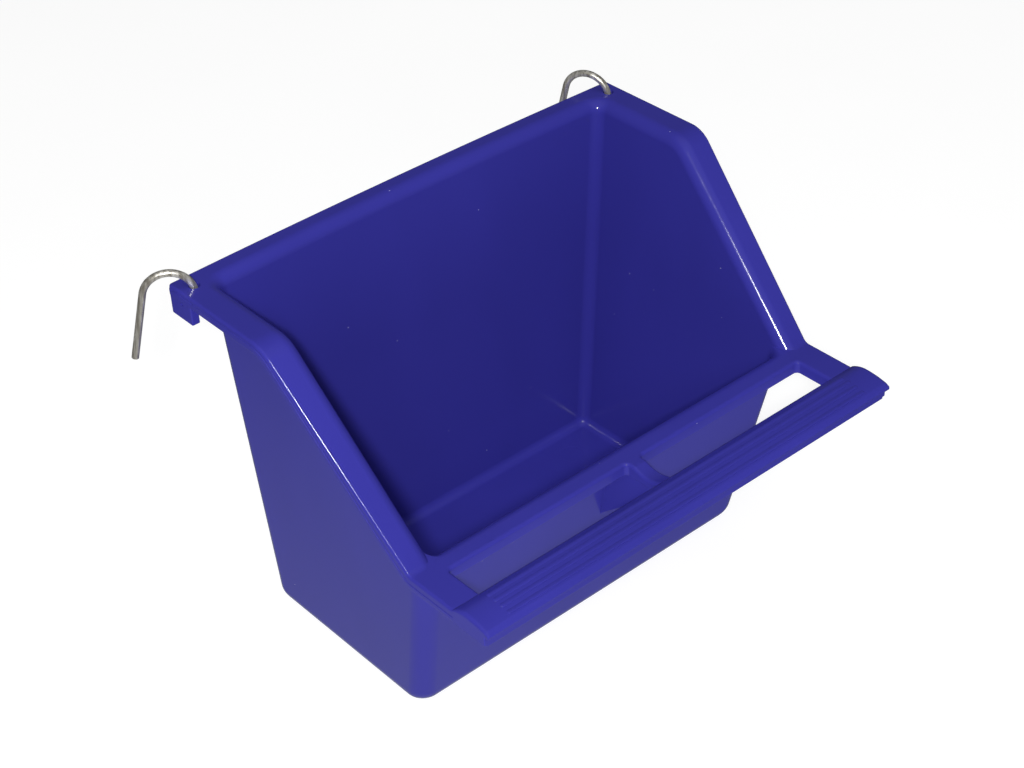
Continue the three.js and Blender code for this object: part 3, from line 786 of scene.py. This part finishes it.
def cup():
    body = combined(tub_outside(), [flange(), window_frame(1), window_frame(-1)], "UNION")
    cuts = [tub_inside(), slope_fillet(), window_cut(1), window_cut(-1), saddle()]
    body = combined(body, cuts, "DIFFERENCE")
    added = [*perch_parts(), middle_web(), *map(ridge, RIDGE_PLACE_SHARES)]
    body = combined(body, added + ear_parts(1) + ear_parts(-1), "UNION")
    body = combined(body, bore_parts(1) + bore_parts(-1) + [floor_mark()], "DIFFERENCE")
    body.name = "cup_moulding"
    return body


# The hooks

def hook_path():
    """The wire's middle line from the shank's lower end, as (out, up) from the shank at the
    flange's top."""
    shank_low = -BOSS_HEIGHT - HEAD_GAP - HEAD_HEIGHT / 2
    path = [Vector((0, shank_low))]
    turn = math.pi - LEG_FLARE_ANGLE
    for i in range(WIRE_STEPS + 1):
        angle = turn * i / WIRE_STEPS
        out = BEND_RADIUS * (1 - math.cos(angle))
        path.append(Vector((out, BEND_RADIUS * math.sin(angle) - BEND_CENTRE_DROP)))
    along = Vector((math.sin(LEG_FLARE_ANGLE), -math.cos(LEG_FLARE_ANGLE)))
    leg_start = path[-1]
    for left, come in reversed(list(arc(SMALL_STEPS))):
        path.append(leg_start + along * (LEG_LENGTH - LEG_END_ROUND * come))
    return path


def hook(name, side, turn_angle):
    """One hook about its own shank: a bent round wire, its leg's end trimmed, and the upset
    head under the boss."""
    path = hook_path()
    rounds = [LEG_END_ROUND * left for left, come in reversed(list(arc(SMALL_STEPS)))]
    insets = [0] * (len(path) - len(rounds)) + rounds
    points = []
    faces = []
    for i, point in enumerate(path):
        before = path[max(i - 1, 0)]
        after = path[min(i + 1, len(path) - 1)]
        along = (after - before).normalized()
        out = Vector((along.y, -along.x))
        radius = WIRE_DIAMETER / 2 - insets[i]
        for k in range(WIRE_SIDES):
            angle = 4 * QUARTER * k / WIRE_SIDES
            place = point + out * (radius * math.cos(angle))
            points.append((radius * math.sin(angle), place.x, place.y))
    for level in range(len(path) - 1):
        low = level * WIRE_SIDES
        for k in range(WIRE_SIDES):
            j = (k + 1) % WIRE_SIDES
            faces.append((low + k, low + j, low + WIRE_SIDES + j, low + WIRE_SIDES + k))
    top = (len(path) - 1) * WIRE_SIDES
    faces.append(tuple(reversed(range(WIRE_SIDES))))
    faces.append(tuple(range(top, top + WIRE_SIDES)))
    wire = solid(name, points, faces)
    head_top = -BOSS_HEIGHT - HEAD_GAP
    head_low = head_top - HEAD_HEIGHT
    profile = [(0, head_low)]
    for left, come in arc(SMALL_STEPS):
        profile.append((HEAD_RADIUS - HEAD_ROUND * left, head_low + HEAD_ROUND * come))
    for left, come in reversed(list(arc(SMALL_STEPS))):
        profile.append((HEAD_RADIUS - HEAD_ROUND * left, head_top - HEAD_ROUND * come))
    profile.append((0, head_top))
    combined(wire, [turned("head", profile, 0, BACK_EDGE)], "UNION")
    turn = Matrix.Rotation(-side * turn_angle, 4, "Z")
    place = Matrix.Translation((side * HOOK_X, y_at(HOOK_FROM_BACK), CUP_HEIGHT))
    wire.data.transform(place @ turn)
    return wire


def finished(piece, body, node, material):
    """The piece at the frame's scale, smooth between its edges, in its material and in its
    node's place."""
    piece.data.transform(Matrix.Scale(MM, 4))
    piece.data.shade_smooth()
    piece.data.set_sharp_from_angle(angle=SHARP_ANGLE)
    weights = piece.modifiers.new("even_normals", "WEIGHTED_NORMAL")
    weights.mode = "FACE_AREA"
    weights.keep_sharp = True
    piece.data.materials.clear()
    piece.data.materials.append(material)
    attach(piece, body)
    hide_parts(node)
    return piece


# Materials. Grain sizes and depths are in millimetres of the cup.

PLASTIC_DEEP = (0.0310, 0.0292, 0.262)
PLASTIC_PALE = (0.0345, 0.0322, 0.288)
FLOW_GRAIN = 38
DUST_COLOUR = (0.42, 0.44, 0.62)
DUST_SPACING = 7.5
DUST_CORE_SHARE = 0.012  # of the spacing
DUST_EDGE_SHARE = 0.022
HAZE_GRAIN = 9
HAZE_ROUGHNESS = (0.11, 0.15)
STREAK_GRAIN = 1.2
STREAK_ROUGHNESS = 0.05
PLASTIC_IOR = 1.37
WAVE_GRAIN = 24
WAVE_DEPTH = 0.25
WAVE_STRENGTH = 0.25
WIRE_DARK = (0.42, 0.39, 0.33)
WIRE_PALE = (0.97, 0.94, 0.86)
WIRE_METALLIC = 0.8
WIRE_BAND_GRAIN = 1.1
WIRE_SCRATCH_GRAIN = 0.35
WIRE_ROUGHNESS = (0.26, 0.42)
WIRE_SCRATCH_DEPTH = 0.03
WIRE_SCRATCH_STRENGTH = 0.3


def new_material(name):
    material = bpy.data.materials.new(name)
    material.use_nodes = True
    nodes = material.node_tree.nodes
    shader = nodes["Principled BSDF"]
    place = nodes.new("ShaderNodeTexCoord").outputs["Object"]
    return material, nodes, material.node_tree.links, shader, place


def noise(nodes, links, place, size, stretch=(1, 1, 1), detail=3, roughness=0.5):
    """Noise whose grains are about size millimetres of the cup across."""
    mapping = nodes.new("ShaderNodeMapping")
    mapping.inputs["Scale"].default_value = [s / (size * MM) for s in stretch]
    links.new(place, mapping.inputs["Vector"])
    texture = nodes.new("ShaderNodeTexNoise")
    texture.inputs["Scale"].default_value = 1
    texture.inputs["Detail"].default_value = detail
    texture.inputs["Roughness"].default_value = roughness
    links.new(mapping.outputs["Vector"], texture.inputs["Vector"])
    return texture.outputs["Fac"]


def spread(nodes, links, value, from_low, from_high, to_low, to_high):
    """A value mapped from one range to another."""
    node = nodes.new("ShaderNodeMapRange")
    for socket, number in zip(("From Min", "From Max", "To Min", "To Max"),
                              (from_low, from_high, to_low, to_high)):
        node.inputs[socket].default_value = number
    links.new(value, node.inputs["Value"])
    return node.outputs["Result"]


def blended(nodes, links, share, first, second):
    """A colour between two colours."""
    node = nodes.new("ShaderNodeMix")
    node.data_type = "RGBA"
    links.new(share, node.inputs["Factor"])
    for socket, colour in ((6, first), (7, second)):
        if hasattr(colour, "links"):
            links.new(colour, node.inputs[socket])
        else:
            node.inputs[socket].default_value = (*colour, 1)
    return node.outputs[2]


def total(nodes, links, first, second, operation="ADD"):
    node = nodes.new("ShaderNodeMath")
    node.operation = operation
    for socket, value in enumerate((first, second)):
        if hasattr(value, "links"):
            links.new(value, node.inputs[socket])
        else:
            node.inputs[socket].default_value = value
    return node.outputs["Value"]


def plastic():
    """Glossy moulded plastic: a deep blue with faint flow shades, fine scratches, dust specks
    and a very slight waviness."""
    material, nodes, links, shader, place = new_material("blue_plastic")
    flow = noise(nodes, links, place, FLOW_GRAIN, (1, 1, 0.4), 2)
    share = spread(nodes, links, flow, 0.35, 0.65, 0, 1)
    colour = blended(nodes, links, share, PLASTIC_DEEP, PLASTIC_PALE)
    specks = nodes.new("ShaderNodeTexVoronoi")
    specks.inputs["Scale"].default_value = 1
    size = nodes.new("ShaderNodeMapping")
    size.inputs["Scale"].default_value = [1 / (DUST_SPACING * MM)] * 3
    links.new(place, size.inputs["Vector"])
    links.new(size.outputs["Vector"], specks.inputs["Vector"])
    away = specks.outputs["Distance"]
    near = spread(nodes, links, away, DUST_CORE_SHARE, DUST_EDGE_SHARE, 1, 0)
    links.new(blended(nodes, links, near, colour, DUST_COLOUR), shader.inputs["Base Color"])
    haze = noise(nodes, links, place, HAZE_GRAIN, detail=4)
    dull = spread(nodes, links, haze, 0.3, 0.7, *HAZE_ROUGHNESS)
    streaks = noise(nodes, links, place, STREAK_GRAIN, (1, 1, 0.05), 2)
    scuffed = spread(nodes, links, streaks, 0.45, 0.8, 0, STREAK_ROUGHNESS)
    links.new(total(nodes, links, dull, scuffed), shader.inputs["Roughness"])
    shader.inputs["IOR"].default_value = PLASTIC_IOR
    wave = nodes.new("ShaderNodeBump")
    wave.inputs["Strength"].default_value = WAVE_STRENGTH
    wave.inputs["Distance"].default_value = WAVE_DEPTH * MM
    links.new(noise(nodes, links, place, WAVE_GRAIN, detail=1), wave.inputs["Height"])
    links.new(wave.outputs["Normal"], shader.inputs["Normal"])
    return material


def wire_steel():
    """Drawn steel wire: warm grey, with dull and bright bands and fine scratches along it."""
    material, nodes, links, shader, place = new_material("hook_wire")
    bands = noise(nodes, links, place, WIRE_BAND_GRAIN, (1, 1, 0.08), 3)
    tint = spread(nodes, links, bands, 0.38, 0.62, 0, 1)
    links.new(blended(nodes, links, tint, WIRE_DARK, WIRE_PALE), shader.inputs["Base Color"])
    shader.inputs["Metallic"].default_value = WIRE_METALLIC
    scratches = noise(nodes, links, place, WIRE_SCRATCH_GRAIN, (1, 1, 0.12), 3)
    dull = spread(nodes, links, scratches, 0.3, 0.7, *WIRE_ROUGHNESS)
    links.new(dull, shader.inputs["Roughness"])
    bump = nodes.new("ShaderNodeBump")
    bump.inputs["Strength"].default_value = WIRE_SCRATCH_STRENGTH
    bump.inputs["Distance"].default_value = WIRE_SCRATCH_DEPTH * MM
    links.new(scratches, bump.inputs["Height"])
    links.new(bump.outputs["Normal"], shader.inputs["Normal"])
    return material


# Studio, in metres and watts

EYE_PLACE = Vector((-0.27092, -0.33219, 0.36900))
EYE_RIGHT = Vector((0.75152, -0.65857, -0.03873))
EYE_UP = Vector((0.41193, 0.42259, 0.80730))
EYE_BACK = Vector((-0.51530, -0.62265, 0.58887))
FOCAL_LENGTH = 73.70  # millimetres
SENSOR_WIDTH = 36
NEAR_LIMIT = 0.01
FLASH_LEFT = 0.010  # from the lens
FLASH_BELOW = 0.002
FLASH_BEHIND = 0.13
FLASH_WIDTH = 0.032
FLASH_POWER = 2.75
GLARE_DOWNHILL = 0.035  # from the flash, along the rim's slope
GLARE_WIDTH = 0.024
GLARE_LENGTH = 0.2
GLARE_POWER = 0.7
OVERHEAD_PLACE = (-0.26, -0.39, 1.25)
OVERHEAD_WIDTH = 1.6
OVERHEAD_POWER = 7.5
CEILING_LEAN = (-0.25, -0.35, 0.9)
CEILING_COLOUR = (0.3, 0.303, 0.306)
CEILING_EDGE = (0.7, 0.88)  # cosines from its middle
ROOM_COLOUR = (0.08, 0.082, 0.084)
SHEET_REACH = 6
FLOOR_DARK = (0.3, 0.3, 0.298)
FLOOR_PALE = (0.31, 0.31, 0.308)
FLOOR_GRAIN = 60  # millimetres of the cup
FLOOR_ROUGHNESS = 0.9
FLOOR_GLOSS = 0.1
FLOOR_GLOW = 0.8
# The reflected sheet's colours are painted light: a pale pool of painted light near the cup's
# middle that fades to painted shade further away.
TABLE_PAINTED_LIGHT_MIDDLE = (-0.05, -0.02, 0)
TABLE_PAINTED_LIGHT_REACH = 0.23
TABLE_PAINTED_LIGHT = (0.27, 0.278, 0.286)
TABLE_PAINTED_SHADE = (0.02, 0.02, 0.02)


def level_sheet(name, material):
    """A wide level sheet at the height of the cup's foot."""
    mesh = bpy.data.meshes.new(name)
    ways = [(-1, -1), (1, -1), (1, 1), (-1, 1)]
    corners = [(SHEET_REACH * x, SHEET_REACH * y, 0) for x, y in ways]
    mesh.from_pydata(corners, [], [(0, 1, 2, 3)])
    piece = bpy.data.objects.new(name, mesh)
    piece.location.z = cup_low.z
    bpy.context.scene.collection.objects.link(piece)
    mesh.materials.append(material)
    piece.visible_shadow = False
    return piece


def floor():
    """A pale floor, without a reflection."""
    material, nodes, links, shader, place = new_material("pale_floor")
    mottle = noise(nodes, links, place, FLOOR_GRAIN, detail=4)
    share = spread(nodes, links, mottle, 0.3, 0.7, 0, 1)
    colour = blended(nodes, links, share, FLOOR_DARK, FLOOR_PALE)
    links.new(colour, shader.inputs["Base Color"])
    shader.inputs["Roughness"].default_value = FLOOR_ROUGHNESS
    shader.inputs["Specular IOR Level"].default_value = FLOOR_GLOSS
    shader.inputs["Emission Color"].default_value = (1, 1, 1, 1)
    shader.inputs["Emission Strength"].default_value = FLOOR_GLOW
    level_sheet("studio_floor", material).visible_glossy = False


def painted_light_table():
    """What the cup reflects in the floor's place: a sheet with a painted pool of light that is
    pale near the cup, and painted shade that darkens it away from the cup."""
    material, nodes, links, shader, place = new_material("painted_light_table")
    away = nodes.new("ShaderNodeVectorMath")
    away.operation = "DISTANCE"
    away.inputs[1].default_value = TABLE_PAINTED_LIGHT_MIDDLE
    links.new(place, away.inputs[0])
    share = spread(nodes, links, away.outputs["Value"], 0, TABLE_PAINTED_LIGHT_REACH, 0, 1)
    # painted light near the cup, blending to painted shade away from it
    links.new(blended(nodes, links, share, TABLE_PAINTED_LIGHT, TABLE_PAINTED_SHADE), shader.inputs["Base Color"])
    shader.inputs["Roughness"].default_value = 1
    shader.inputs["Specular IOR Level"].default_value = 0
    sheet = level_sheet("studio_table", material)
    sheet.visible_camera = False
    sheet.visible_diffuse = False


def area_light(name, place, width, height, power, along=(0, 0, 1)):
    """A soft light that looks at the middle of the cup, its height along a direction."""
    light = bpy.data.lights.new(name, "AREA")
    light.shape = "RECTANGLE"
    light.size = width
    light.size_y = height
    light.energy = power
    lamp = bpy.data.objects.new(name, light)
    away = (Vector(place) - Vector((0, 0, CUP_HEIGHT * MM / 2))).normalized()
    side = Vector(along).cross(away).normalized()
    turn = Matrix((side, away.cross(side), away)).transposed().to_4x4()
    lamp.matrix_world = Matrix.Translation(place) @ turn
    lamp.visible_camera = False
    bpy.context.scene.collection.objects.link(lamp)
    return lamp


def world():
    """A dim room with a brighter round patch of ceiling above the lens."""
    sky = bpy.data.worlds.new("studio")
    bpy.context.scene.world = sky
    sky.use_nodes = True
    nodes, links = sky.node_tree.nodes, sky.node_tree.links
    background = nodes["Background"]
    direction = nodes.new("ShaderNodeTexCoord").outputs["Generated"]
    towards = nodes.new("ShaderNodeVectorMath")
    towards.operation = "DOT_PRODUCT"
    towards.inputs[1].default_value = Vector(CEILING_LEAN).normalized()
    links.new(direction, towards.inputs[0])
    near = spread(nodes, links, towards.outputs["Value"], *CEILING_EDGE, 0, 1)
    links.new(blended(nodes, links, near, ROOM_COLOUR, CEILING_COLOUR), background.inputs["Color"])
    background.inputs["Strength"].default_value = 1


def camera():
    lens = bpy.data.cameras.new("view")
    lens.lens = FOCAL_LENGTH
    lens.sensor_width = SENSOR_WIDTH
    lens.clip_start = NEAR_LIMIT
    eye = bpy.data.objects.new("view", lens)
    turn = Matrix((EYE_RIGHT, EYE_UP, EYE_BACK)).transposed().to_4x4()
    eye.matrix_world = Matrix.Translation(EYE_PLACE) @ turn
    bpy.context.scene.collection.objects.link(eye)
    bpy.context.scene.camera = eye


steel = wire_steel()
finished(cup(), "cup", "cup", plastic())
left_hook = hook("wire_hook_left", -1, LEFT_TURN_ANGLE)
finished(left_hook, "hook_left", "hook_left", steel)
right_hook = hook("wire_hook_right", 1, RIGHT_TURN_ANGLE)
finished(right_hook, "hook_right", "hook_right", steel)

floor()
painted_light_table()
world()
flash_place = (
    EYE_PLACE - EYE_RIGHT * FLASH_LEFT - EYE_UP * FLASH_BELOW + EYE_BACK * FLASH_BEHIND
)
uphill = Vector((0, KINK_DEPTH - TOP_RUN, SLOPE_DROP)).normalized()
glare_place = flash_place - uphill * GLARE_DOWNHILL
area_light("flash", flash_place, FLASH_WIDTH, FLASH_WIDTH, FLASH_POWER)
area_light("glare", glare_place, GLARE_WIDTH, GLARE_LENGTH, GLARE_POWER, uphill)
overhead = area_light("overhead", OVERHEAD_PLACE, OVERHEAD_WIDTH, OVERHEAD_WIDTH, OVERHEAD_POWER)
overhead.visible_glossy = False
camera()
bpy.context.scene.view_settings.view_transform = "Standard"
